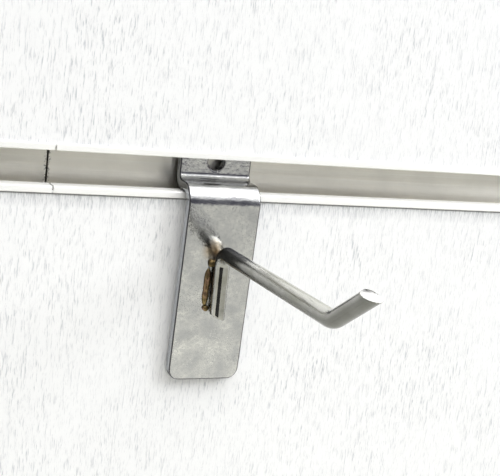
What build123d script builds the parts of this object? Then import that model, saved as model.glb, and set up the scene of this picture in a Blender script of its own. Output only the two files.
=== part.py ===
"""Slatwall display panel with aluminium groove inserts and one sliding peg hook.

Frame: X runs along the grooves, +Y points into the wall, +Z is up.
The origin is the centre of the panel's back face, so the front is at negative Y.
All sizes are in millimetres.
"""
import os
from math import cos, radians, sin, tan

from build123d import *

os.makedirs("parts", exist_ok=True)

# ---- panel board
panel_width = 600.0
panel_height = 600.0
panel_thickness = 18.0
laminate = 0.8            # decorative front sheet
backing = 0.7             # balancing sheet on the back
edge_band = 1.0           # plastic band on the top and bottom edges
groove_count = 4
groove_pitch = 150.0

# ---- aluminium insert, all measured on its inside
neck_opening = 10.8       # clear height between the lips
neck_depth = 3.9          # from the panel's face to the back of the board's neck
cavity_depth = 4.7        # clear depth behind the neck
cavity_reach = 8.0        # clear height above and below the neck
insert_wall = 1.2
lip_height = 2.1
lip_proud = 0.8           # how far the lips stand off the panel's face
lip_round = 0.35
insert_clearance = 0.1    # between an insert and the milled groove
insert_joint_gap = 0.6    # between the two lengths in one groove
insert_joints = [110.0, -150.0, -53.5, 140.0]   # X of each groove's butt joint

# ---- wall fixing holes through the outer grooves' webs
fixing_spacing = 400.0
fixing_hole = 4.0
fixing_countersink = 0.8

# ---- hook
hooked_groove = 2         # counted from the bottom groove, which is 0
hook_width = 24.2
sheet = 3.0               # thickness of the bent bracket
slide_gap = 0.3           # running clearance to the insert and to the panel
plate_drop = 61.2         # plate's lower end below the ledge
plate_tilt = 3.1          # degrees, top edge standing off the wall
shoulder_bend = 3.0       # inside radius where the shelf turns down
heel_bend = 2.2           # inside radius where the shelf turns up
tongue_reach = 6.0        # how far the tongue passes the top lip
tongue_hole = 5.6
tongue_hole_height = 9.1  # above the ledge
plate_corner = 4.0
tongue_corner = 2.0

rod = 5.0                 # wire of the arm
arm_drop = 17.7           # from the shelf down the plate to the arm's axis
tail_length = 21.6        # welded leg below the arm's axis
arm_length = 78.4         # tail axis to the corner of the raised tip
arm_rise = 1.8            # degrees
tip_length = 23.7         # along the lower side, which the sheared end leaves longer
tip_rise = 33.2           # degrees
tip_shear = 5.5           # how much shorter the wire's upper side is at the sheared end
elbow_bend = 5.0          # radius of the wire's centre line at the leg
tip_bend = 9.0            # radius of the wire's centre line at the tip
rod_end_round = 0.4

weld_length = 17.0
weld_leg = 2.6            # reach of each bead beside the wire's axis line
weld_height = 1.3

# ---- planes and levels worked out from the sizes
face_y = -panel_thickness
lip_y = face_y - lip_proud
core_front = face_y + laminate
neck_back = face_y + neck_depth
cavity_front = neck_back + insert_wall
cavity_back = cavity_front + cavity_depth
web_back = cavity_back + insert_wall
neck_half = neck_opening / 2
cavity_half = neck_half + cavity_reach
slot_half = neck_half + insert_wall + insert_clearance
undercut_half = cavity_half + insert_wall + insert_clearance
undercut_back = web_back + insert_clearance
board_half = panel_height / 2 - edge_band
groove_levels = [
    (number - (groove_count - 1) / 2) * groove_pitch for number in range(groove_count)
]
fixing_points = [
    (side * fixing_spacing / 2, level)
    for level in (groove_levels[0], groove_levels[-1])
    for side in (-1, 1)
]


def box_between(y_low, y_high, z_low, z_high, mode=Mode.ADD):
    """Rectangle in a YZ sketch, given by its limits."""
    with Locations(((y_low + y_high) / 2, (z_low + z_high) / 2)):
        Rectangle(y_high - y_low, z_high - z_low, mode=mode)


def drill_fixings(levels):
    """Clear holes for the wall screws, right through the part being made."""
    points = [(x, z) for x, z in fixing_points if z in levels]
    with BuildSketch(Plane.XZ.offset(2 * panel_thickness)) as holes:
        with Locations(*points):
            Circle(fixing_hole / 2)
    extrude(holes.sketch, amount=-4 * panel_thickness, mode=Mode.SUBTRACT)


def finish(part, node):
    """Name a finished piece and write its file."""
    part.label = node
    export_step(part, f"parts/{node}.step")


# ---- core: fibreboard with a T-shaped slot milled along every groove
with BuildPart() as core:
    with BuildSketch(Plane.YZ):
        box_between(core_front, -backing, -board_half, board_half)
        for level in groove_levels:
            box_between(core_front, neck_back, level - slot_half, level + slot_half,
                        mode=Mode.SUBTRACT)
            box_between(neck_back, undercut_back, level - undercut_half,
                        level + undercut_half, mode=Mode.SUBTRACT)
    extrude(amount=panel_width / 2, both=True)
    drill_fixings(groove_levels)
finish(core.part, "core")

# ---- face strips: the front sheet, cut into strips by the grooves
strip_limits = [-board_half]
for level in groove_levels:
    strip_limits += [level - slot_half, level + slot_half]
strip_limits.append(board_half)
for number in range(groove_count + 1):
    low, high = strip_limits[2 * number: 2 * number + 2]
    with BuildPart() as face_strip:
        with BuildSketch(Plane.YZ):
            box_between(face_y, core_front, low, high)
        extrude(amount=panel_width / 2, both=True)
    finish(face_strip.part, f"face_strip_{number + 1}")

# ---- back sheet: balances the front sheet so that the board stays flat
with BuildPart() as back_sheet:
    with BuildSketch(Plane.YZ):
        box_between(-backing, 0, -board_half, board_half)
    extrude(amount=panel_width / 2, both=True)
    drill_fixings(groove_levels)
finish(back_sheet.part, "back_sheet")

# ---- edge bands: cover the board and both sheets along the top and the bottom
for node, side in (("edge_band_top", 1), ("edge_band_bottom", -1)):
    with BuildPart() as band:
        with BuildSketch(Plane.YZ):
            box_between(face_y, 0, *sorted((side * board_half, side * panel_height / 2)))
        extrude(amount=panel_width / 2, both=True)
    finish(band.part, node)


# ---- inserts: aluminium extrusions that line the slots, two lengths butted in each
def insert_profile(level):
    """Lining of one T slot: lips, neck walls, cavity walls and web."""
    box_between(lip_y, face_y, level - neck_half - lip_height,
                level + neck_half + lip_height)
    box_between(face_y, neck_back, level - neck_half - insert_wall,
                level + neck_half + insert_wall)
    box_between(neck_back, web_back, level - cavity_half - insert_wall,
                level + cavity_half + insert_wall)
    box_between(lip_y, cavity_front, level - neck_half, level + neck_half,
                mode=Mode.SUBTRACT)
    box_between(cavity_front, cavity_back, level - cavity_half, level + cavity_half,
                mode=Mode.SUBTRACT)


for number, level in enumerate(groove_levels):
    joint = insert_joints[number]
    lengths = {
        "left": (-panel_width / 2, joint - insert_joint_gap / 2),
        "right": (joint + insert_joint_gap / 2, panel_width / 2),
    }
    for side, (start, end) in lengths.items():
        with BuildPart() as insert:
            with BuildSketch(Plane.YZ.offset(start)) as section:
                insert_profile(level)
                lip_corners = section.vertices().group_by(Axis.X)[0]
                fillet(lip_corners, lip_round)
            extrude(amount=end - start)
            holes = [(x, z) for x, z in fixing_points if z == level and start < x < end]
            if holes:
                with Locations(*[
                    Location(Plane((x, cavity_back, z), z_dir=(0, -1, 0))) for x, z in holes
                ]):
                    CounterSinkHole(fixing_hole / 2, fixing_hole / 2 + fixing_countersink,
                                    depth=insert_wall, counter_sink_angle=90)
        finish(insert.part, f"insert_{number + 1}_{side}")

# ---- hook bracket: one steel strip bent into a tongue, a shelf and a hanging plate
ledge = groove_levels[hooked_groove] - neck_half
shelf_under = ledge + slide_gap
tongue_front = cavity_front + slide_gap
tongue_back = tongue_front + sheet
tongue_top = ledge + neck_opening + tongue_reach
plate_bottom = ledge - plate_drop
tilt = radians(plate_tilt)
plate_back_low = face_y - slide_gap
plate_back_high = plate_back_low - (shelf_under - plate_bottom) * tan(tilt)
down = Vector(0, sin(tilt), -cos(tilt))       # along the plate
outward = Vector(0, -cos(tilt), -sin(tilt))   # square to the plate
plate_front = Vector(0, plate_back_high, shelf_under) + outward * sheet

with BuildPart() as hook_bracket:
    with BuildSketch(Plane.YZ):
        with BuildLine():
            FilletPolyline(
                (tongue_back, tongue_top),
                (tongue_back, shelf_under),
                (plate_back_high, shelf_under),
                (plate_back_low, plate_bottom),
                radius=[heel_bend + sheet, shoulder_bend],
            )
            offset(amount=sheet, side=Side.RIGHT)
        make_face()
    extrude(amount=hook_width / 2, both=True)
    corners = hook_bracket.edges().filter_by(
        lambda edge: edge.geom_type == GeomType.LINE and abs(edge.length - sheet) < sheet / 50
    )
    fillet(corners.group_by(Axis.Z)[0], plate_corner)
    fillet(corners.group_by(Axis.Z)[-1], tongue_corner)
    hole_height = ledge + tongue_hole_height
    with BuildSketch(Plane((0, tongue_front - sheet, hole_height), z_dir=(0, 1, 0))):
        Circle(tongue_hole / 2)
    extrude(amount=3 * sheet, mode=Mode.SUBTRACT)
finish(hook_bracket.part, "hook_bracket")

# ---- hook arm: round wire with a leg welded to the plate and a raised tip
elbow = plate_front + down * arm_drop + outward * (rod / 2)
tail_end = elbow + down * tail_length
rise = radians(arm_rise)
tip_corner = elbow + Vector(0, -cos(rise), sin(rise)) * arm_length
climb = radians(tip_rise)
tip_end = tip_corner + Vector(0, -cos(climb), sin(climb)) * tip_length
sheared_low = tip_end + Vector(0, -sin(climb), -cos(climb)) * (rod / 2)
shear_normal = Vector(0, -cos(climb), sin(climb)) * rod + Vector(0, sin(climb), cos(climb)) * tip_shear
with BuildPart() as hook_arm:
    with BuildLine():
        FilletPolyline(tail_end, elbow, tip_corner, tip_end, radius=[elbow_bend, tip_bend])
    with BuildSketch(Plane(tail_end, z_dir=down * -1)):
        Circle(rod / 2)
    sweep()
    split(bisect_by=Plane(sheared_low, z_dir=shear_normal), keep=Keep.BOTTOM)
    fillet(hook_arm.edges().filter_by(GeomType.CIRCLE).sort_by_distance(tail_end)[0], rod_end_round)
finish(hook_arm.part, "hook_arm")

# ---- hook welds: a bead in the corner on each side of the welded leg
weld_centre = elbow + down * (tail_length / 2)
weld_start = weld_centre - down * (weld_length / 2)
with BuildPart() as hook_welds:
    with BuildSketch(Plane(weld_start, x_dir=(1, 0, 0), z_dir=down)):
        for side in (-1, 1):
            with BuildLine():
                Polyline(
                    (0, -rod / 2),
                    (side * (rod / 2 + weld_leg - weld_height), -rod / 2),
                    (side * rod / 2, -rod / 2 + weld_height),
                    (0, -rod / 2 + weld_height),
                    close=True,
                )
            make_face()
        Circle(rod / 2, mode=Mode.SUBTRACT)
    extrude(amount=weld_length)
finish(hook_welds.part, "hook_welds")
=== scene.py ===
import math

import bpy
from mathutils import Matrix, Vector, noise


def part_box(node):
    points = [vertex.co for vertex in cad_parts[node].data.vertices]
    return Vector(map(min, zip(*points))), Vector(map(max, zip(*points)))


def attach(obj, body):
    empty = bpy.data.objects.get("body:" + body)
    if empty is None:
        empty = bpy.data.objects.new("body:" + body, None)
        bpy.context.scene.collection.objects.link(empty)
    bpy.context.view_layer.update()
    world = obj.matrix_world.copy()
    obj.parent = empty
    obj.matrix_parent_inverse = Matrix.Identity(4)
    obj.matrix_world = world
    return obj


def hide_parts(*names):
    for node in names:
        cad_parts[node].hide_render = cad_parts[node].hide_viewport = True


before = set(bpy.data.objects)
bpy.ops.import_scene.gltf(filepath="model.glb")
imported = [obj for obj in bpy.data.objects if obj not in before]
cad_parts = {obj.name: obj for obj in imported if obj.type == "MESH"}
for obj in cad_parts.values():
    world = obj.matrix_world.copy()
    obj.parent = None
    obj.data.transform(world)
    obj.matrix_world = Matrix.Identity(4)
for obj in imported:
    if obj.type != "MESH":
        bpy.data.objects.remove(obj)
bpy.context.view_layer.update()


# ---- Viewpoint and studio
# A long lens left of the hook and a little above it, a broad light over the front and a weaker
# one from the right. The plating mirrors a pale floor, a dark band at eye height, a white
# ceiling and a dark flag that shows in reflections only.
bracket_low, bracket_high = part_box("hook_bracket")
tongue_rise = 0.0168      # the tongue's top above the ledge that the hook hangs on
ledge = bracket_high.z - tongue_rise
lip_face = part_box("insert_3_right")[0].y

eye_aside, eye_back, eye_above = 0.12907, 0.32654, 0.06141    # from the hook's ledge
eye = Vector((-eye_aside, lip_face - eye_back, ledge + eye_above))
azimuth, elevation, roll = (math.radians(angle) for angle in (23.367, 11.987, 6.759))
focal_length = 80.885     # mm
sight = Vector((
    math.sin(azimuth) * math.cos(elevation),
    math.cos(azimuth) * math.cos(elevation),
    -math.sin(elevation),
))
level_right = Vector((math.cos(azimuth), -math.sin(azimuth), 0.0))
level_up = level_right.cross(sight)
tilted_right = level_right * math.cos(roll) + level_up * math.sin(roll)
tilted_up = level_up * math.cos(roll) - level_right * math.sin(roll)

lens = bpy.data.cameras.new("camera")
lens.lens = focal_length
camera = bpy.data.objects.new("camera", lens)
axes = Matrix((tilted_right, tilted_up, -sight)).transposed()
camera.matrix_world = Matrix.Translation(eye) @ axes.to_4x4()
bpy.context.collection.objects.link(camera)
bpy.context.scene.camera = camera
bpy.context.scene.view_settings.view_transform = "Standard"


light_spread = math.radians(75)


def soft_light(name, place, target, size, power, colour):
    """A rectangular light that faces a point."""
    lamp = bpy.data.lights.new(name, "AREA")
    lamp.shape = "RECTANGLE"
    lamp.size, lamp.size_y = size
    lamp.energy = power
    lamp.color = colour
    lamp.spread = light_spread
    fitting = bpy.data.objects.new(name, lamp)
    facing = (Vector(target) - Vector(place)).to_track_quat("-Z", "Y").to_matrix()
    fitting.matrix_world = Matrix.Translation(place) @ facing.to_4x4()
    bpy.context.collection.objects.link(fitting)


soft_light("overhead_light", (0.35, -0.55, 1.25), (0.0, 0.0, 0.05), (1.7, 1.0), 4.0,
           (1.0, 0.99, 0.98))
soft_light("fill_light", (1.05, -0.75, 0.75), (0.0, 0.0, 0.0), (0.6, 0.6), 1.6,
           (0.96, 0.98, 1.0))

room = bpy.data.worlds.new("room")
bpy.context.scene.world = room
room.use_nodes = True
nodes, links = room.node_tree.nodes, room.node_tree.links
direction = nodes.new("ShaderNodeTexCoord")
height = nodes.new("ShaderNodeSeparateXYZ")
centred = nodes.new("ShaderNodeMath")
centred.operation = "MULTIPLY_ADD"
for factor_or_shift in centred.inputs[1:3]:      # heights of -1 to 1 become 0 to 1
    factor_or_shift.default_value = 0.5
shades = nodes.new("ShaderNodeValToRGB")
links.new(direction.outputs["Generated"], height.inputs[0])
links.new(height.outputs["Z"], centred.inputs[0])
links.new(centred.outputs[0], shades.inputs[0])
links.new(shades.outputs[0], nodes["Background"].inputs["Color"])
bands = (                 # height in the room, colour
    (-0.50, (0.80, 0.78, 0.66)),
    (-0.20, (0.40, 0.39, 0.42)),
    (0.00, (0.10, 0.10, 0.12)),
    (0.34, (0.13, 0.13, 0.15)),
    (0.46, (1.0, 1.0, 1.0)),
)
ramp = shades.color_ramp
while len(ramp.elements) < len(bands):
    ramp.elements.new(0.5)
for stop, (rise, colour) in zip(ramp.elements, bands):
    stop.position = rise / 2 + 0.5
    stop.color = (*colour, 1.0)

floor_reach = 3.0
floor_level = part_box("edge_band_bottom")[0].z
floor_mesh = bpy.data.meshes.new("floor")
floor_mesh.from_pydata(
    [(x * floor_reach, y * floor_reach, floor_level)
     for x, y in ((-1, -1), (1, -1), (1, 1), (-1, 1))],
    [], [(0, 1, 2, 3)],
)
floor = bpy.data.objects.new("floor", floor_mesh)
bpy.context.collection.objects.link(floor)
floor_paint = bpy.data.materials.new("floor_paint")
floor_paint.use_nodes = True
floor_shader = floor_paint.node_tree.nodes["Principled BSDF"]
floor_shader.inputs["Base Color"].default_value = (0.79, 0.785, 0.71, 1.0)
floor_shader.inputs["Roughness"].default_value = 0.7
floor_mesh.materials.append(floor_paint)

flag_width, flag_height, flag_distance = 0.46, 0.52, 0.45
flag_aside = 0.05         # the flag stands this much further left than the eye
flag_mesh = bpy.data.meshes.new("dark_flag")
towards_eye = Vector((eye.x, eye.y, 0.0)).normalized()
flag_middle = towards_eye * flag_distance - Vector((flag_aside, 0.0, 0.0))
flag_half = Vector((towards_eye.y, -towards_eye.x, 0.0)) * (flag_width / 2)
flag_top = floor_level + flag_height
flag_mesh.from_pydata(
    [tuple(flag_middle + flag_half * side + Vector((0.0, 0.0, rise)))
     for side, rise in ((-1, floor_level), (1, floor_level), (1, flag_top), (-1, flag_top))],
    [], [(0, 1, 2, 3)],
)
flag = bpy.data.objects.new("dark_flag", flag_mesh)
flag.visible_camera = flag.visible_diffuse = flag.visible_shadow = False
bpy.context.collection.objects.link(flag)
flag_cloth = bpy.data.materials.new("flag_cloth")
flag_cloth.use_nodes = True
cloth_shader = flag_cloth.node_tree.nodes["Principled BSDF"]
cloth_shader.inputs["Base Color"].default_value = (0.02, 0.02, 0.022, 1.0)
flag_mesh.materials.append(flag_cloth)


# ---- Core
# Fibreboard, milled with a T slot along every groove. Away from its sides it is painted near
# black: painted shade for the deep slots and joints it shows through. Its raw edges show at the
# panel's two sides: brown pressed fibre, denser towards both faces.
def new_group(name, inputs, outputs):
    """An empty node group with float inputs, after a vector, and float outputs."""
    group = bpy.data.node_groups.new(name, "ShaderNodeTree")
    group.interface.new_socket("Vector", in_out="INPUT", socket_type="NodeSocketVector")
    for label, value in inputs:
        socket = group.interface.new_socket(label, in_out="INPUT", socket_type="NodeSocketFloat")
        socket.default_value = value
    for label in outputs:
        group.interface.new_socket(label, in_out="OUTPUT", socket_type="NodeSocketFloat")
    return group, group.nodes.new("NodeGroupInput"), group.nodes.new("NodeGroupOutput")


def wire(tree, source, target):
    tree.links.new(source, target)


def axes_of(tree, vector):
    """The X, Y and Z of a vector, by name."""
    node = tree.nodes.new("ShaderNodeSeparateXYZ")
    wire(tree, vector, node.inputs[0])
    return node.outputs


def math_node(tree, operation, *values):
    """A Math node fed by sockets or by numbers; gives back its output."""
    node = tree.nodes.new("ShaderNodeMath")
    node.operation = operation
    for slot, value in zip(node.inputs, values):
        if isinstance(value, (int, float)):
            slot.default_value = value
        else:
            wire(tree, value, slot)
    return node.outputs[0]


def spread(tree, value, low, high, new_low=0.0, new_high=1.0):
    """Map Range with clamping; gives back its output."""
    node = tree.nodes.new("ShaderNodeMapRange")
    for slot, number in zip(node.inputs[1:5], (low, high, new_low, new_high)):
        slot.default_value = number
    wire(tree, value, node.inputs[0])
    return node.outputs[0]


def noise_node(tree, vector, scale, detail=4.0, roughness=0.55):
    """A Noise texture; scale is a number or a socket; gives back its output."""
    node = tree.nodes.new("ShaderNodeTexNoise")
    node.inputs["Detail"].default_value = detail
    node.inputs["Roughness"].default_value = roughness
    wire(tree, vector, node.inputs["Vector"])
    if isinstance(scale, (int, float)):
        node.inputs["Scale"].default_value = scale
    else:
        wire(tree, scale, node.inputs["Scale"])
    return node.outputs["Fac"]


def build_mottle():
    """Cloudy stains and fine speckle, for every worn or pressed surface."""
    group, given, result = new_group(
        "mottle", (("Cloud Scale", 100.0), ("Speckle Scale", 1500.0)), ("Cloud", "Speckle"))
    cloud = noise_node(group, given.outputs["Vector"], given.outputs["Cloud Scale"])
    speckle = noise_node(group, given.outputs["Vector"], given.outputs["Speckle Scale"], 2.0)
    wire(group, spread(group, cloud, 0.3, 0.7), result.inputs["Cloud"])
    wire(group, spread(group, speckle, 0.3, 0.7), result.inputs["Speckle"])
    return group


def build_lines():
    """Long fine lines, from drawing, rolling or grain: noise stretched by three scales."""
    group, given, result = new_group(
        "lines", (("Scale X", 10.0), ("Scale Y", 1000.0), ("Scale Z", 1000.0)),
        ("Lines", "Bands"))
    scales = group.nodes.new("ShaderNodeCombineXYZ")
    for slot, label in zip(scales.inputs, ("Scale X", "Scale Y", "Scale Z")):
        wire(group, given.outputs[label], slot)
    stretched = group.nodes.new("ShaderNodeVectorMath")
    stretched.operation = "MULTIPLY"
    wire(group, given.outputs["Vector"], stretched.inputs[0])
    wire(group, scales.outputs[0], stretched.inputs[1])
    fine = noise_node(group, stretched.outputs[0], 1.0, 3.0, 0.6)
    wide = noise_node(group, stretched.outputs[0], 0.16, 2.0)
    wire(group, spread(group, fine, 0.3, 0.7), result.inputs["Lines"])
    wire(group, spread(group, wide, 0.3, 0.7), result.inputs["Bands"])
    return group


mottle, lines = build_mottle(), build_lines()


def new_finish(name, slot, roughness, metallic=0.0):
    """A material with its tree, its shader and the object's own coordinates."""
    finish = bpy.data.materials.new(name)
    finish.use_nodes = True
    finish["slot"] = slot
    tree = finish.node_tree
    shader = tree.nodes["Principled BSDF"]
    shader.inputs["Roughness"].default_value = roughness
    shader.inputs["Metallic"].default_value = metallic
    place = tree.nodes.new("ShaderNodeTexCoord").outputs["Object"]
    return finish, tree, shader, place


def placed(tree, group, vector, **values):
    """A group in a material; its inputs are given by name, with _ for a space."""
    node = tree.nodes.new("ShaderNodeGroup")
    node.node_tree = group
    wire(tree, vector, node.inputs["Vector"])
    for label, value in values.items():
        node.inputs[label.replace("_", " ")].default_value = value
    return node.outputs


def blend_colours(tree, share, first, second):
    """A colour mix; each colour is three numbers or a socket; gives back its output."""
    node = tree.nodes.new("ShaderNodeMix")
    node.data_type = "RGBA"
    wire(tree, share, node.inputs["Factor"])
    for slot, colour in zip((node.inputs[6], node.inputs[7]), (first, second)):
        if isinstance(colour, tuple):
            slot.default_value = (*colour, 1.0)
        else:
            wire(tree, colour, slot)
    return node.outputs[2]


def relief(tree, shader, depths):
    """Bump from (value, depth in metres) pairs, chained into the shader's normal."""
    normal = None
    for value, depth in depths:
        node = tree.nodes.new("ShaderNodeBump")
        node.inputs["Strength"].default_value = 1.0
        node.inputs["Distance"].default_value = depth
        wire(tree, value, node.inputs["Height"])
        if normal is not None:
            wire(tree, normal, node.inputs["Normal"])
        normal = node.outputs[0]
    wire(tree, normal, shader.inputs["Normal"])


def dress(finish, *names):
    """Gives a finish to CAD nodes, in place of what they came with."""
    for name in names:
        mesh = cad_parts[name].data
        mesh.materials.clear()
        mesh.materials.append(finish)


core_low, core_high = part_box("core")
skin_start = 0.55         # the denser skin's start, as a share of the half thickness
shade_full, shade_end = 0.0006, 0.0002      # the painted shade fades out this far from the sides
fibre, tree, shader, place = new_finish("raw_fibreboard", "board", 0.85)
flecks = placed(tree, lines, place, Scale_X=900.0, Scale_Y=2600.0, Scale_Z=700.0)
stains = placed(tree, mottle, place, Cloud_Scale=70.0, Speckle_Scale=1800.0)
at = axes_of(tree, place)
middle, half_depth = (core_low.y + core_high.y) / 2, (core_high.y - core_low.y) / 2
depth = math_node(tree, "ABSOLUTE", math_node(tree, "SUBTRACT", at["Y"], middle))
skin = spread(tree, depth, half_depth * skin_start, half_depth)
body_colour = blend_colours(tree, flecks["Lines"], (0.40, 0.27, 0.16), (0.58, 0.43, 0.27))
body_colour = blend_colours(tree, stains["Cloud"], body_colour, (0.47, 0.33, 0.20))
body_colour = blend_colours(tree, skin, body_colour, (0.33, 0.21, 0.12))
inward = math_node(tree, "ABSOLUTE", at["X"])
# painted shade: near black over the whole core except its raw side edges
painted_gap_shade = spread(tree, inward, core_high.x - shade_full, core_high.x - shade_end, 1.0, 0.0)
wire(tree, blend_colours(tree, painted_gap_shade, body_colour, (0.030, 0.022, 0.016)),
     shader.inputs["Base Color"])
relief(tree, shader, ((flecks["Lines"], 0.00020), (stains["Speckle"], 0.00012)))
dress(fibre, "core")


# ---- Face strips
# The laminated front: white resin-soaked paper, pressed to leave fine upright pores and cut
# into strips by the grooves. Painted shadow greys it under each lip, and a dark line of painted
# contact shadow marks where they meet.
strip_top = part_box("face_strip_1")[1].z
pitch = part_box("face_strip_2")[1].z - strip_top
lip_overlap = 0.0008      # how far each strip's top runs behind the lip above it
lip_shadow_start, lip_shadow_end = 0.0005, 0.0050     # below a lip
contact_shadow_start, contact_shadow_end = 0.0003, 0.0007     # below a lip
laminate, tree, shader, place = new_finish("white_grained_laminate", "white_laminate", 0.42)
pores = placed(tree, lines, place, Scale_X=3000.0, Scale_Y=300.0, Scale_Z=230.0)
fibres = placed(tree, lines, place, Scale_X=5200.0, Scale_Y=300.0, Scale_Z=420.0)
tint = placed(tree, mottle, place, Cloud_Scale=35.0, Speckle_Scale=2400.0)
pore = spread(tree, pores["Lines"], 0.70, 0.92)
patch = spread(tree, tint["Cloud"], 0.1, 0.9, 0.35, 1.0)
pore = math_node(tree, "MULTIPLY", pore, patch)
down_from_lip = math_node(tree, "SUBTRACT", strip_top - lip_overlap, axes_of(tree, place)["Z"])
below_lip = math_node(tree, "FLOORED_MODULO", down_from_lip, pitch)
# painted shadow: the pores turn grey within a few millimetres below each lip
painted_lip_shadow = spread(tree, below_lip, lip_shadow_start, lip_shadow_end, 1.0, 0.0)
# painted contact shadow: a dark line just below each lip
contact_shadow_and_burr_grime = spread(tree, below_lip, contact_shadow_start, contact_shadow_end, 0.85, 0.0)
fine_pore = spread(tree, fibres["Lines"], 0.72, 1.0, 0.0, 0.5)
marks = math_node(tree, "MAXIMUM", pore, fine_pore)
paper = blend_colours(tree, marks, (0.92, 0.925, 0.935), (0.60, 0.62, 0.66))
painted_shadow_on_pores = math_node(tree, "MULTIPLY", painted_lip_shadow, spread(tree, fibres["Lines"], 0.35, 0.75, 0.15, 0.9))
paper = blend_colours(tree, painted_shadow_on_pores, paper, (0.50, 0.515, 0.54))
wire(tree, blend_colours(tree, contact_shadow_and_burr_grime, paper, (0.14, 0.14, 0.14)), shader.inputs["Base Color"])
wire(tree, spread(tree, marks, 0.0, 1.0, 0.38, 0.62), shader.inputs["Roughness"])
sunk = math_node(tree, "SUBTRACT", 1.0, marks)
relief(tree, shader, ((sunk, 0.00007), (tint["Speckle"], 0.000012)))
dress(laminate, *(f"face_strip_{number}" for number in range(1, 6)))


# ---- Back sheet
# Plain balancing paper on the back, which keeps the board flat. It is off-white, matt and
# a little scuffed.
backing, tree, shader, place = new_finish("balancing_sheet", "back_melamine", 0.6)
scuffs = placed(tree, lines, place, Scale_X=60.0, Scale_Y=60.0, Scale_Z=900.0)
weave = placed(tree, mottle, place, Cloud_Scale=22.0, Speckle_Scale=1400.0)
sheet_colour = blend_colours(tree, weave["Cloud"], (0.80, 0.79, 0.75), (0.87, 0.86, 0.83))
scuff = spread(tree, scuffs["Lines"], 0.80, 1.0, 0.0, 0.5)
wire(tree, blend_colours(tree, scuff, sheet_colour, (0.66, 0.65, 0.62)),
     shader.inputs["Base Color"])
wire(tree, spread(tree, weave["Speckle"], 0.0, 1.0, 0.52, 0.68), shader.inputs["Roughness"])
relief(tree, shader, ((weave["Speckle"], 0.00002), (scuffs["Lines"], 0.00001)))
dress(backing, "back_sheet")


# ---- Edge bands
# Thin white plastic, glued along the top and the bottom edges and trimmed flush. It has a
# fine orange peel and faint trimming lines.
banding, tree, shader, place = new_finish("white_edge_band", "edge_plastic", 0.35)
trimming = placed(tree, lines, place, Scale_X=14.0, Scale_Y=2200.0, Scale_Z=2200.0)
peel = placed(tree, mottle, place, Cloud_Scale=260.0, Speckle_Scale=900.0)
wire(tree, blend_colours(tree, trimming["Lines"], (0.88, 0.885, 0.89), (0.93, 0.93, 0.935)),
     shader.inputs["Base Color"])
wire(tree, spread(tree, peel["Cloud"], 0.0, 1.0, 0.30, 0.42), shader.inputs["Roughness"])
relief(tree, shader, ((peel["Cloud"], 0.00003), (trimming["Lines"], 0.000012)))
dress(banding, "edge_band_top", "edge_band_bottom")


# ---- Inserts
# Mill-finish aluminium extrusions that line the slots, two lengths butted in each. The die
# leaves lines along the length and the saw smears the webs at every joint. The necks and lips
# get a whiter, less metallic and a little rougher copy of the finish: painted light for the
# light they catch.
neck_end = -0.0128        # the painted light is on what is in front of it, the saw smeared what is behind
painted_light_fade = (neck_end - 0.0008, neck_end + 0.0002)
smear_start, smear_end = 0.0003, 0.0012       # how far the saw's marks reach from a joint


def aluminium(number):
    """The finish of one groove's two lengths, marked beside its own joint."""
    finish, tree, shader, place = new_finish(
        f"drawn_aluminium_{number}", "aluminium_insert", 0.2, 0.9)
    drawn = placed(tree, lines, place, Scale_X=16.0, Scale_Y=2600.0, Scale_Z=2600.0)
    broad = placed(tree, lines, place, Scale_X=5.0, Scale_Y=700.0, Scale_Z=700.0)
    dull = placed(tree, mottle, place, Cloud_Scale=90.0, Speckle_Scale=1200.0)
    joint = (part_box(f"insert_{number}_left")[1].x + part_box(f"insert_{number}_right")[0].x) / 2
    at = axes_of(tree, place)
    away = math_node(tree, "ABSOLUTE", math_node(tree, "SUBTRACT", at["X"], joint))
    near = spread(tree, away, smear_start, smear_end, 1.0, 0.0)
    near = math_node(tree, "MULTIPLY", near, math_node(tree, "GREATER_THAN", at["Y"], neck_end))
    smear = math_node(tree, "MULTIPLY", near, spread(tree, dull["Speckle"], 0.55, 0.85))
    colour = blend_colours(tree, drawn["Lines"], (0.93, 0.905, 0.83), (1.0, 0.99, 0.93))
    colour = blend_colours(tree, broad["Lines"], colour, (0.97, 0.94, 0.85))
    colour = blend_colours(tree, spread(tree, dull["Cloud"], 0.2, 0.9, 0.0, 0.6), colour,
                           (0.86, 0.84, 0.78))
    # painted light: the necks and lips get a whiter, less metallic, rougher copy of the finish
    painted_light_share = spread(tree, at["Y"], *painted_light_fade, 1.0, 0.0)
    colour = blend_colours(tree, painted_light_share, colour, (0.97, 0.97, 0.955))
    wire(tree, blend_colours(tree, smear, colour, (0.10, 0.10, 0.11)), shader.inputs["Base Color"])
    gloss = spread(tree, broad["Bands"], 0.0, 1.0, 0.28, 0.36)
    wire(tree, math_node(tree, "MULTIPLY_ADD", painted_light_share, 0.06, gloss), shader.inputs["Roughness"])
    shader.inputs["Anisotropic"].default_value = 0.9
    shader.inputs["Anisotropic Rotation"].default_value = 0.25
    draw_direction = tree.nodes.new("ShaderNodeCombineXYZ")
    for slot, value in zip(draw_direction.inputs, (1.0, 0.02, 0.03)):    # square to no face
        slot.default_value = value
    wire(tree, draw_direction.outputs[0], shader.inputs["Tangent"])
    wire(tree, spread(tree, painted_light_share, 0.0, 1.0, 0.90, 0.25), shader.inputs["Metallic"])
    relief(tree, shader, ((drawn["Lines"], 0.000012), (broad["Lines"], 0.000022)))
    return finish


groove_numbers = range(1, 5)
for number in groove_numbers:
    dress(aluminium(number), f"insert_{number}_left", f"insert_{number}_right")


# ---- Saw burrs
# Slivers of aluminium that the saw turned over along the cut ends of the webs. They stand
# beside every joint, inside the cavity.
web_face = -0.0082        # the front of the web
burr_count = 26
burr_reach = 0.0007       # the longest sliver, measured from the cut end
burr_least = 0.12         # slivers under this share of the longest have broken off
burr_rise = 0.0058        # half the height over which they stand


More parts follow.
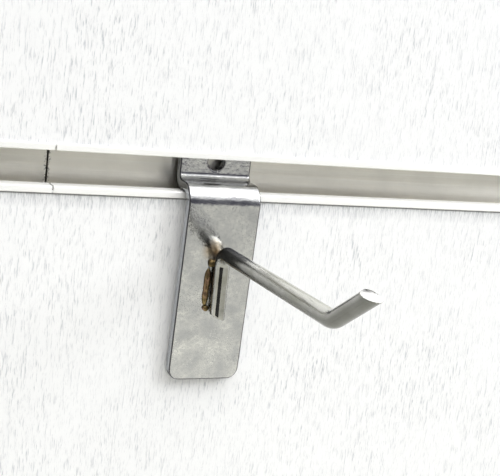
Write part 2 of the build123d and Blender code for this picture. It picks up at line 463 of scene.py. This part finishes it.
def add_object(name, points, faces, finish):
    """A mesh object with a finish."""
    mesh = bpy.data.meshes.new(name)
    mesh.from_pydata([tuple(point) for point in points], [], faces)
    mesh.update()
    mesh.materials.append(finish)
    piece = bpy.data.objects.new(name, mesh)
    bpy.context.collection.objects.link(piece)
    return piece


def burr(points, faces, x, z, side, size):
    """One curled sliver: a three-sided point that leans away from the cut end."""
    first = len(points)
    root = Vector((x, web_face, z))
    width = 0.25 * size
    points += [
        root + Vector((0.0, 0.00002, -width)),
        root + Vector((0.0, 0.00002, width)),
        root + Vector((side * 0.25 * size, -0.3 * size, 0.0)),
        root + Vector((side * size, -0.12 * size, 0.4 * width)),
    ]
    faces += [tuple(first + corner for corner in face)
              for face in ((0, 1, 2), (0, 2, 3), (1, 3, 2), (0, 3, 1))]


burr_finish, tree, shader, place = new_finish("burr_aluminium", "aluminium_insert", 0.45, 1.0)
contact_shadow_and_burr_grime = placed(tree, mottle, place, Cloud_Scale=1500.0, Speckle_Scale=6000.0)
wire(tree, blend_colours(tree, contact_shadow_and_burr_grime["Cloud"], (0.05, 0.05, 0.055), (0.45, 0.45, 0.44)),
     shader.inputs["Base Color"])
relief(tree, shader, ((contact_shadow_and_burr_grime["Speckle"], 0.00003),))

for number in groove_numbers:
    left_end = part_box(f"insert_{number}_left")[1]
    right_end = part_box(f"insert_{number}_right")[0]
    level = (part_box(f"insert_{number}_left")[0].z + left_end.z) / 2
    points, faces = [], []
    for step in range(burr_count):
        z = level + burr_rise * (2 * (step + 0.5) / burr_count - 1)
        for x, side in ((left_end.x, -1), (right_end.x, 1)):
            own_place = Vector((x * 900.0, number * 3.7, step * 1.31))
            share = 0.35 + 1.3 * noise.noise(own_place)
            if share > burr_least:
                burr(points, faces, x, z, side, burr_reach * share)
    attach(add_object(f"saw_burrs_{number}", points, faces, burr_finish), "panel")


# ---- Hook bracket
# A strip of steel, blanked, punched with one hole, bent twice and bright plated. The plating
# follows the ripples of the rolled strip, and its edges are rolled over by the blanking.
sheet = 0.003
tilt = math.radians(3.1)          # the plate's top stands off the panel
stand_off = 0.0003                # the plate's lower end to the panel's face
shelf_clear = 0.0003              # the shelf's underside above the ledge
heel_bend, shoulder_bend = 0.0037, 0.0045      # at the middle of the sheet
plate_corner, tongue_corner = 0.004, 0.002
edge_round = 0.0006
hole_radius, hole_height = 0.0028, 0.0091     # height is above the ledge
punch_reach, rim_flare = 0.004, 0.0003
ripple_depth = 0.000022
ripple_margin = 0.002             # the ripples fade out this near the strip's sides
strip_width = bracket_high.x - bracket_low.x
strip_middle = (bracket_high.x + bracket_low.x) / 2

panel_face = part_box("face_strip_3")[0].y
shelf_level = ledge + shelf_clear + sheet / 2
tongue_line = bracket_high.y - sheet / 2
plate_end = Vector((
    panel_face - stand_off - sheet / 2 * math.cos(tilt),
    bracket_low.z + sheet / 2 * math.sin(tilt),
))
shoulder = Vector((plate_end.x - (shelf_level - plate_end.y) * math.tan(tilt), shelf_level))
shoulder_turn = math.pi / 2 + tilt
shoulder_tangent = shoulder_bend * math.tan(shoulder_turn / 2)
plate_run = (plate_end - shoulder).length - shoulder_tangent
strip_course = (
    (bracket_high.z - shelf_level - heel_bend, 0.0),
    (heel_bend * math.pi / 2, -math.pi / 2),
    (tongue_line - shoulder.x - heel_bend - shoulder_tangent, 0.0),
    (shoulder_bend * shoulder_turn, shoulder_turn),
    (plate_run, 0.0),
)
strip_start = Vector((tongue_line, bracket_high.z))


def walk(start, heading, course, distance):
    """The point and heading at a distance along straight runs and arcs, in the YZ plane."""
    point = start.copy()
    for length, turn in course:
        run = min(distance, length)
        part = turn * run / length
        chord = run if abs(part) < 1e-9 else run * math.sin(part / 2) / (part / 2)
        point += Vector((math.cos(heading + part / 2), math.sin(heading + part / 2))) * chord
        heading += part
        distance -= run
        if distance <= 1e-12:
            break
    return point, heading


def course_stops(course, straight_step, arc_step):
    """Distances along a course, closer together in its arcs."""
    stops, reached = [0.0], 0.0
    for length, turn in course:
        steps = max(1, round(length / (arc_step if turn else straight_step)))
        stops += [reached + length * (step + 1) / steps for step in range(steps)]
        reached += length
    return stops, reached


def corner_inset(radius, distance):
    """How far a rounded corner draws the edge in, at a distance from the end."""
    if distance >= radius:
        return 0.0
    return radius - math.sqrt(max(radius ** 2 - (radius - distance) ** 2, 0.0))


def end_stops(radius, steps):
    """Distances from an end that follow a rounded corner."""
    return [radius * (1 - math.cos(math.pi / 2 * step / steps)) for step in range(1, steps + 1)]


stops, strip_length = course_stops(strip_course, 0.0008, 0.0004)
edge_stops = end_stops(edge_round, 4)
stops = [s for s in stops if tongue_corner < s < strip_length - plate_corner]
stops += [0.0, strip_length] + edge_stops + [strip_length - s for s in edge_stops]
stops += [s for s in end_stops(tongue_corner, 8) if s > edge_round * 1.2]
stops += [strip_length - s for s in end_stops(plate_corner, 12) if s > edge_round * 1.2]
stops.sort()


def strip_section(half_width, half_height, rounding):
    """A rounded rectangle as (across, through) pairs, with many points along its faces."""
    columns, arc_steps = 26, 4
    corner = min(rounding, half_height * 0.999)
    flat = half_width - corner
    loop = [(flat * (2 * c / columns - 1), half_height) for c in range(columns + 1)]
    turns = [math.pi / 2 * step / arc_steps for step in range(1, arc_steps)]
    right = [(flat + corner * math.sin(a), half_height - corner + corner * math.cos(a))
             for a in turns]
    right += [(half_width, half_height - corner), (half_width, corner - half_height)]
    right += [(flat + corner * math.cos(a), corner - half_height - corner * math.sin(a))
              for a in turns]
    loop += right
    loop += [(flat * (1 - 2 * c / columns), -half_height) for c in range(columns + 1)]
    loop += [(-across, -through) for across, through in right]
    return loop


def ripples(across, distance):
    """The waviness that rolling left in the strip, from about -1 to 1."""
    broad = noise.noise(Vector((across * 90.0, distance * 60.0, 9.0)))
    return noise.noise(Vector((across * 210.0, distance * 160.0, 3.0))) + 0.5 * broad


def tube_faces(rows, ring, first=0, turned=False):
    """Faces over rows of rings of points, with a face on each end."""
    skin = []
    for row in range(rows - 1):
        low, high = first + row * ring, first + (row + 1) * ring
        for column in range(ring):
            after = (column + 1) % ring
            if turned:
                skin.append((low + column, high + column, high + after, low + after))
            else:
                skin.append((low + column, low + after, high + after, high + column))
    start = tuple(range(first, first + ring))
    end = tuple(range(first + (rows - 1) * ring, first + rows * ring))
    return skin + ([start, end[::-1]] if turned else [start[::-1], end])


points = []
for distance in stops:
    from_top, from_bottom = distance, strip_length - distance
    thinning = corner_inset(edge_round, min(from_top, from_bottom))
    half = strip_width / 2 - thinning
    half -= corner_inset(tongue_corner, from_top) + corner_inset(plate_corner, from_bottom)
    middle_point, heading = walk(strip_start, -math.pi / 2, strip_course, distance)
    outward = Vector((math.sin(heading), -math.cos(heading)))
    loop = strip_section(half, sheet / 2 - thinning, edge_round)
    for across, through in loop:
        wave = ripples(across, distance)
        flat_share = min(1.0, (half - abs(across)) / ripple_margin)
        lift = through + ripple_depth * wave * max(flat_share, 0.0) * (1 if through > 0 else -1)
        at = middle_point + outward * lift
        points.append(Vector((strip_middle + across, at.x, at.y)))
faces = tube_faces(len(stops), len(loop))


def facing_of(tree):
    """The X, Y and Z of the way the surface faces."""
    return axes_of(tree, tree.nodes.new("ShaderNodeNewGeometry").outputs["Normal"])


tint_place = (strip_middle - 0.0022, bracket_low.y + 0.0015, ledge - 0.0172)
tint_full, tint_end = 0.0012, 0.0042          # radii of the heat tint at the top of the weld
# Coarse glints fade in and out between these heights above the plate's lower end.
glints_from, glints_in, glints_out, glints_to = 0.003, 0.008, 0.013, 0.020
plating, tree, shader, place = new_finish("bright_plating", "bright_plating", 0.14, 1.0)
cloud = placed(tree, mottle, place, Cloud_Scale=170.0, Speckle_Scale=2600.0)
wide = placed(tree, mottle, place, Cloud_Scale=55.0, Speckle_Scale=700.0)
haze = spread(tree, cloud["Cloud"], 0.1, 0.9, 0.0, 1.0)
bright = blend_colours(tree, haze, (0.52, 0.525, 0.545), (0.82, 0.82, 0.805))
bright = blend_colours(tree, spread(tree, wide["Speckle"], 0.0, 1.0, 0.0, 0.6), bright,
                       (0.50, 0.505, 0.53))
bright = blend_colours(tree, spread(tree, cloud["Speckle"], 0.50, 1.0, 0.0, 0.65), bright,
                       (0.44, 0.45, 0.46))
facing = facing_of(tree)
flank = math_node(tree, "ABSOLUTE", facing["X"])
rolled_edge = math_node(tree, "MULTIPLY", spread(tree, flank, 0.08, 0.35),
                        spread(tree, flank, 0.75, 0.97, 1.0, 0.0))
lower_edge = spread(tree, math_node(tree, "MULTIPLY", facing["Z"], -1.0), 0.12, 0.35)
dark_edge = math_node(tree, "MAXIMUM", rolled_edge, lower_edge)
# painted shade: the side faces get a darker grey than the plated front
bright = blend_colours(tree, spread(tree, flank, 0.75, 0.97), bright, (0.50, 0.52, 0.55))
from_weld = tree.nodes.new("ShaderNodeVectorMath")
from_weld.operation = "DISTANCE"
wire(tree, place, from_weld.inputs[0])
from_weld.inputs[1].default_value = tint_place
heat_tint = spread(tree, from_weld.outputs["Value"], tint_full, tint_end, 0.8, 0.0)
bright = blend_colours(tree, heat_tint, bright, (0.44, 0.31, 0.16))
height = axes_of(tree, place)["Z"]
low_down = math_node(tree, "MULTIPLY",
                     spread(tree, height, bracket_low.z + glints_to, bracket_low.z + glints_out),
                     spread(tree, height, bracket_low.z + glints_from, bracket_low.z + glints_in))
grit = placed(tree, mottle, place, Cloud_Scale=240.0, Speckle_Scale=3400.0)
sparkle = math_node(tree, "MULTIPLY", spread(tree, grit["Speckle"], 0.62, 0.80),
                    spread(tree, grit["Cloud"], 0.45, 0.75))
sparkle = math_node(tree, "MULTIPLY", sparkle, low_down)
bright = blend_colours(tree, sparkle, bright, (1.0, 1.0, 0.98))
wire(tree, blend_colours(tree, dark_edge, bright, (0.13, 0.13, 0.14)), shader.inputs["Base Color"])
gloss = spread(tree, wide["Speckle"], 0.0, 1.0, 0.08, 0.16)
gloss = math_node(tree, "MULTIPLY_ADD", haze, 0.10, gloss)
wire(tree, math_node(tree, "MULTIPLY_ADD", dark_edge, 0.2, gloss), shader.inputs["Roughness"])
pits = math_node(tree, "MULTIPLY", spread(tree, cloud["Speckle"], 0.72, 1.0),
                 spread(tree, wide["Cloud"], 0.5, 0.9))
relief(tree, shader, ((cloud["Cloud"], 0.000028), (wide["Speckle"], 0.000022), (pits, 0.00002)))

bracket = add_object("bent_bracket", points, faces, plating)


def cut_hole(piece, centre, radius, depth, flare):
    """Punches a hole along Y whose rims are rolled over by the flare."""
    sides = 48
    profile = [(-depth, radius + 4 * flare), (-sheet / 2 - flare, radius + 2.2 * flare)]
    profile += [(-sheet / 2 + flare * (1 - math.cos(a)), radius + flare * (1 - math.sin(a)))
                for a in (0.2, 0.6, 1.0, 1.35)]
    profile += [(-y, r) for y, r in reversed(profile)]
    rim = []
    for y, r in profile:
        rim += [centre + Vector((r * math.cos(2 * math.pi * k / sides), y,
                                 r * math.sin(2 * math.pi * k / sides))) for k in range(sides)]
    mesh = bpy.data.meshes.new("punch")
    mesh.from_pydata([tuple(point) for point in rim], [],
                     tube_faces(len(profile), sides, turned=True))
    punch = bpy.data.objects.new("punch", mesh)
    bpy.context.collection.objects.link(punch)
    cut = piece.modifiers.new("cut", "BOOLEAN")
    cut.operation = "DIFFERENCE"
    cut.solver = "EXACT"
    cut.object = punch
    bake(piece)
    bpy.data.objects.remove(punch)


def bake(piece):
    """Applies a piece's modifiers."""
    bpy.context.view_layer.update()
    evaluated = piece.evaluated_get(bpy.context.evaluated_depsgraph_get())
    mesh = bpy.data.meshes.new_from_object(evaluated)
    piece.modifiers.clear()
    piece.data = mesh


def smooth(piece):
    """Smooth shading whose normals follow the large faces."""
    piece.data.shade_smooth()
    weigh = piece.modifiers.new("weigh", "WEIGHTED_NORMAL")
    weigh.mode = "FACE_AREA"
    bake(piece)


hole_centre = Vector((strip_middle, tongue_line, ledge + hole_height))
cut_hole(bracket, hole_centre, hole_radius, punch_reach, rim_flare)
smooth(bracket)
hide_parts("hook_bracket")
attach(bracket, "hook")


# ---- Hook arm
# One length of drawn steel wire, bent over a former: a short leg for the weld, the long arm
# and a raised tip that keeps goods on. Out along the arm its top is painted lighter, a painted
# highlight, and its underside darker, painted shade. Its sheared ends are left as cut: bare
# steel painted near white, partly a painted highlight.
rod = 0.005
arm_drop = 0.0177         # from the shelf down the plate to the arm's axis
leg_length, arm_length, tip_length = 0.0216, 0.0784, 0.0237
leg_lean = 0.0008         # the leg's lower end stands this much to the right
arm_shift = 0.0003        # and the whole arm stands a little right of the middle
arm_rise, tip_rise = math.radians(1.8), math.radians(33.2)
elbow_bend, tip_bend = 0.005, 0.009
down = Vector((math.sin(tilt), -math.cos(tilt)))
outward = Vector((-math.cos(tilt), -math.sin(tilt)))
plate_front = plate_end + outward * (sheet / 2)
shelf_corner = plate_front - down * ((ledge + shelf_clear - plate_front.y) / math.cos(tilt))
elbow = shelf_corner + outward * (rod / 2) + down * (arm_drop - sheet * math.sin(tilt))
leg_end = elbow + down * leg_length

leg_heading = math.pi / 2 + tilt
arm_heading = math.pi - arm_rise
tip_heading = math.pi - tip_rise
elbow_turn, tip_turn = arm_heading - leg_heading, tip_heading - arm_heading
elbow_tangent = elbow_bend * math.tan(elbow_turn / 2)
tip_tangent = tip_bend * math.tan(abs(tip_turn) / 2)
arm_course = (
    (leg_length - elbow_tangent, 0.0),
    (elbow_bend * elbow_turn, elbow_turn),
    (arm_length - elbow_tangent - tip_tangent, 0.0),
    (tip_bend * abs(tip_turn), tip_turn),
    (tip_length - tip_tangent, 0.0),
)
stops, arm_total = course_stops(arm_course, 0.0015, 0.0005)
rim_round = 0.0003
rim_stops = [rim_round * (1 - math.cos(math.pi / 2 * step / 3)) for step in range(1, 4)]
end_clear = 0.0005        # the only rings this near an end are the rim's
stops = sorted([s for s in stops if end_clear < s < arm_total - end_clear]
               + [0.0, arm_total] + rim_stops + [arm_total - s for s in rim_stops])
wire_sides = 64
leg_slant, tip_slant = 0.0009, 0.00295        # how slanted each end is cut
leg_slant_reach, tip_slant_reach = 0.004, 0.008       # from the ends
jag_depth, jag_start = 0.0008, 0.9            # the raggedness of the tip's very end
dent_depth = 0.00003
points = []
for distance in stops:
    at, heading = walk(leg_end, leg_heading, arm_course, distance)
    normal = Vector((-math.sin(heading), math.cos(heading)))
    forward = Vector((math.cos(heading), math.sin(heading)))
    radius = rod / 2 - corner_inset(rim_round, min(distance, arm_total - distance))
    leg_share = max(0.0, 1 - distance / leg_slant_reach)
    tip_share = max(0.0, 1 - (arm_total - distance) / tip_slant_reach)
    for side in range(wire_sides):
        angle = 2 * math.pi * side / wire_sides
        across, above = math.cos(angle), math.sin(angle)
        dent = noise.noise(Vector((across * 1.2, above * 1.2, distance * 130.0)))
        grown = radius + dent_depth * dent
        jag = 0.0
        if tip_share > jag_start:
            jag = -jag_depth * abs(noise.noise(Vector((across * 7.0, above * 7.0, 1.0))))
        push = -leg_share * leg_slant * across
        push += tip_share ** 2 * (tip_slant * above - tip_slant + jag)
        point = at + normal * (grown * above) + forward * push
        aside = grown * across + arm_shift + leg_lean * max(0.0, 1 - distance / leg_length)
        points.append(Vector((strip_middle + aside, point.x, point.y)))
faces = tube_faces(len(stops), wire_sides, turned=True)

leg_front = leg_end.x - rod / 2       # the leg's side that faces away from the panel
shading_start, shading_full = leg_front + 0.002, leg_front - 0.028      # the painted highlight and shade grow from here outwards
steel, tree, shader, place = new_finish("drawn_steel_wire", "steel_wire", 0.35, 1.0)
stain = placed(tree, mottle, place, Cloud_Scale=260.0, Speckle_Scale=2200.0)
blotch = placed(tree, mottle, place, Cloud_Scale=75.0, Speckle_Scale=900.0)
draw = placed(tree, lines, place, Scale_X=1400.0, Scale_Y=70.0, Scale_Z=1400.0)
upward = facing_of(tree)["Z"]
outward_share = spread(tree, axes_of(tree, place)["Y"], shading_start, shading_full)
# painted highlight on the top and painted shade on the underside, both growing outwards
painted_light_share = math_node(tree, "MULTIPLY", outward_share, spread(tree, upward, 0.30, 0.95))
painted_underside_shade = math_node(tree, "MULTIPLY", outward_share, spread(tree, upward, 0.45, -0.15))
metal = blend_colours(tree, stain["Cloud"], (0.32, 0.32, 0.30), (0.56, 0.555, 0.53))
metal = blend_colours(tree, spread(tree, blotch["Cloud"], 0.4, 1.0), metal, (0.34, 0.34, 0.29))
metal = blend_colours(tree, spread(tree, painted_underside_shade, 0.0, 1.0, 0.0, 0.85), metal,
                      (0.155, 0.155, 0.135))
metal = blend_colours(tree, painted_light_share, metal, (0.80, 0.80, 0.74))
scratch = spread(tree, draw["Lines"], 0.72, 1.0, 0.0, 0.5)
wire(tree, blend_colours(tree, scratch, metal, (0.10, 0.10, 0.10)), shader.inputs["Base Color"])
worn = spread(tree, blotch["Speckle"], 0.0, 1.0, 0.05, 0.10)
wire(tree, math_node(tree, "MULTIPLY_ADD", outward_share, 0.16, worn), shader.inputs["Roughness"])
relief(tree, shader, ((stain["Cloud"], 0.000014), (draw["Lines"], 0.000006)))

# bare cut steel, painted near white and less metallic: partly a painted highlight
bare_end_and_highlight, tree, shader, place = new_finish("sheared_steel_and_painted_highlight", "steel_wire", 0.4, 0.35)
bite = placed(tree, lines, place, Scale_X=500.0, Scale_Y=2500.0, Scale_Z=2500.0)
wire(tree, blend_colours(tree, bite["Lines"], (0.88, 0.88, 0.87), (0.97, 0.97, 0.96)),
     shader.inputs["Base Color"])
relief(tree, shader, ((bite["Lines"], 0.00004),))

arm = add_object("wire_arm", points, faces, steel)
arm.data.materials.append(bare_end_and_highlight)
cut_faces = 2 * wire_sides + 2        # the tip's last two rows and both ends
for face in arm.data.polygons[-cut_faces:]:
    face.material_index = 1
smooth(arm)
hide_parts("hook_arm")
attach(arm, "hook")


# ---- Weld beads
# Brass run down both sides of the leg, with a drop at each end of the left bead where the
# torch stopped. The heat leaves it straw brown with copper-pink patches.
points, faces = [], []


def bead(side, start, end, reach, rise):
    """A low rounded ridge along the leg, in the corner beside the wire."""
    rows, columns = 40, 14
    first = len(points)
    for row in range(rows + 1):
        share = row / rows
        taper = min(1.0, 6 * share, 6 * (1 - share)) ** 0.5 if 0 < share < 1 else 0.02
        wobble = 1 + 0.16 * noise.noise(Vector((side * 5.0, share * 9.0, 2.0)))
        base = elbow + down * (start + (end - start) * share) - outward * (rod / 2)
        for column in range(columns):
            angle = 2 * math.pi * column / columns
            across = rod * 0.36 + reach / 2 * (1 + math.cos(angle) * taper * wobble)
            above = rise * max(-0.35, math.sin(angle)) * taper * wobble
            at = base + outward * above
            points.append(Vector((strip_middle + side * across, at.x, at.y)))
    faces.extend(tube_faces(rows + 1, columns, first))


def drop(side, along, across, size):
    """A rounded drop of brass on the plate."""
    rows, columns = 10, 16
    first = len(points)
    centre = elbow + down * along - outward * (rod / 2 - size * 0.35)
    for row in range(1, rows):
        polar = math.pi * row / rows
        for column in range(columns):
            angle = 2 * math.pi * column / columns
            lump = 1 + 0.18 * noise.noise(Vector((math.cos(angle), math.sin(angle) + along * 99, polar)))
            flat = size * lump * math.sin(polar)
            at = centre + outward * (size * 0.8 * math.cos(polar)) + down * (flat * math.sin(angle))
            points.append(Vector((strip_middle + side * across + flat * math.cos(angle), at.x, at.y)))
    faces.extend(tube_faces(rows - 1, columns, first, turned=True))


bead(side=-1, start=0.0060, end=0.0186, reach=0.0021, rise=0.0011)
bead(side=1, start=0.0060, end=0.0180, reach=0.0014, rise=0.0007)
drop(side=-1, along=0.0044, across=0.0022, size=0.00120)
drop(side=-1, along=0.0194, across=0.0023, size=0.00105)
brass, tree, shader, place = new_finish("heat_tinted_brass", "braze", 0.3, 1.0)
tints = placed(tree, mottle, place, Cloud_Scale=420.0, Speckle_Scale=3000.0)
spots = placed(tree, mottle, place, Cloud_Scale=150.0, Speckle_Scale=1200.0)
tone = blend_colours(tree, tints["Cloud"], (0.08, 0.055, 0.026), (0.34, 0.26, 0.12))
wire(tree, blend_colours(tree, spread(tree, spots["Cloud"], 0.55, 1.0), tone, (0.50, 0.29, 0.23)),
     shader.inputs["Base Color"])
wire(tree, spread(tree, tints["Speckle"], 0.0, 1.0, 0.22, 0.5), shader.inputs["Roughness"])
relief(tree, shader, ((tints["Cloud"], 0.00012), (tints["Speckle"], 0.00003)))
beads = add_object("weld_beads", points, faces, brass)
smooth(beads)
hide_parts("hook_welds")
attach(beads, "hook")
